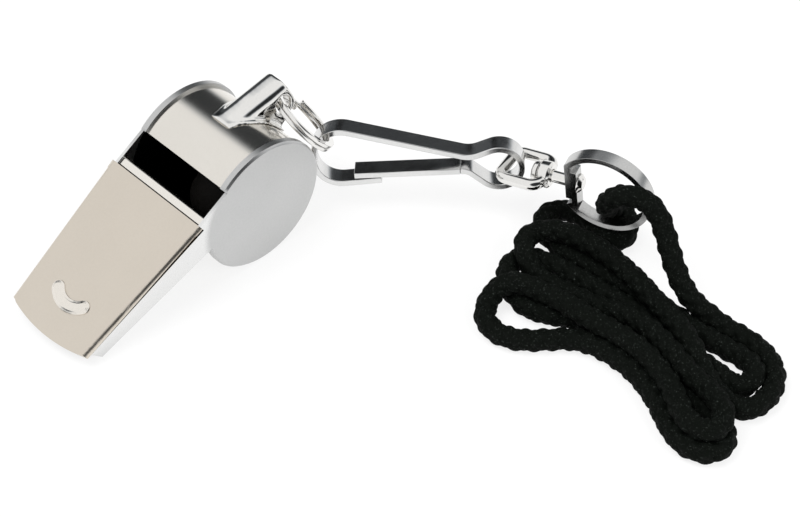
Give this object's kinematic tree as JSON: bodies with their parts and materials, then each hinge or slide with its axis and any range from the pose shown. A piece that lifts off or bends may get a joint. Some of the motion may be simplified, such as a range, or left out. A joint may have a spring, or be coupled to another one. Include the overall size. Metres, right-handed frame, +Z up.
{
  "type": "pea whistle with lanyard",
  "caption": "Nickel-plated pea whistle with a windway mouth, round drum and hooded lug, on a split ring, sprung snap hook, swivel and black cord lanyard.",
  "frame": {"origin": "on the surface that the whistle stands on, below the middle of the whistle's own box", "axes": "+X along the whistle from its mouth to its lug, +Y across it to its left cheek, +Z up"},
  "size_m": [0.087, 0.1009, 0.025],
  "materials": {
    "nickel_sheet": "bright polished nickel plate on sheet brass",
    "cork": "natural cork",
    "plated_wire": "bright nickel plate on spring wire",
    "plated_strip": "bright nickel plate on spring strip",
    "plated_casting": "bright nickel plate",
    "cord": "black braided polyester"
  },
  "bodies": {
    "whistle": {"right_cheek": "nickel_sheet", "left_cheek": "nickel_sheet", "top_plate": "nickel_sheet", "windway_floor": "nickel_sheet", "underside_plate": "nickel_sheet", "drum_band": "nickel_sheet", "lug": "nickel_sheet"},
    "pea": {"pea": "cork"},
    "ring": {"split_ring": "plated_wire"},
    "hook": {"snap_hook": "plated_strip"},
    "gate": {"hook_gate": "plated_strip"},
    "link": {"swivel_link": "plated_casting"},
    "lanyard": {"swivel_rivet": "plated_casting", "cord_ring": "plated_strip", "cord_bight": "cord", "cord_hank": "cord"}
  },
  "joints": [
    {"name": "pea_orbit", "type": "hinge", "parent": "whistle", "child": "pea", "pos_m": [0.0094, 0, 0.0115], "axis": [0, 1, 0], "continuous": true},
    {"name": "ring_swing", "type": "hinge", "parent": "whistle", "child": "ring", "pos_m": [0.0207, -0.0012, 0.02121], "axis": [0.5501, 0.7898, -0.2714], "range_deg": [-35, 4]},
    {"name": "hook_swing", "type": "hinge", "parent": "ring", "child": "hook", "pos_m": [0.02548, -0.00734, 0.01301], "axis": [0.5501, 0.7898, -0.2714], "range_deg": [-30, 24]},
    {"name": "gate_press", "type": "hinge", "parent": "hook", "child": "gate", "pos_m": [0.03976, -0.02349, 0.01003], "axis": [0.7289, 0.6703, -0.1392], "range_deg": [0, 15], "stiffness_Nm_per_rad": 0.3},
    {"name": "link_swing", "type": "hinge", "parent": "hook", "child": "link", "pos_m": [0.04493, -0.02901, 0.01052], "axis": [-0.9451, -0.3086, 0.1076], "range_deg": [-35, 35]},
    {"name": "swivel_turn", "type": "hinge", "parent": "link", "child": "lanyard", "pos_m": [0.04493, -0.02901, 0.01052], "axis": [0.3191, -0.9424, 0.0997], "continuous": true}
  ]
}
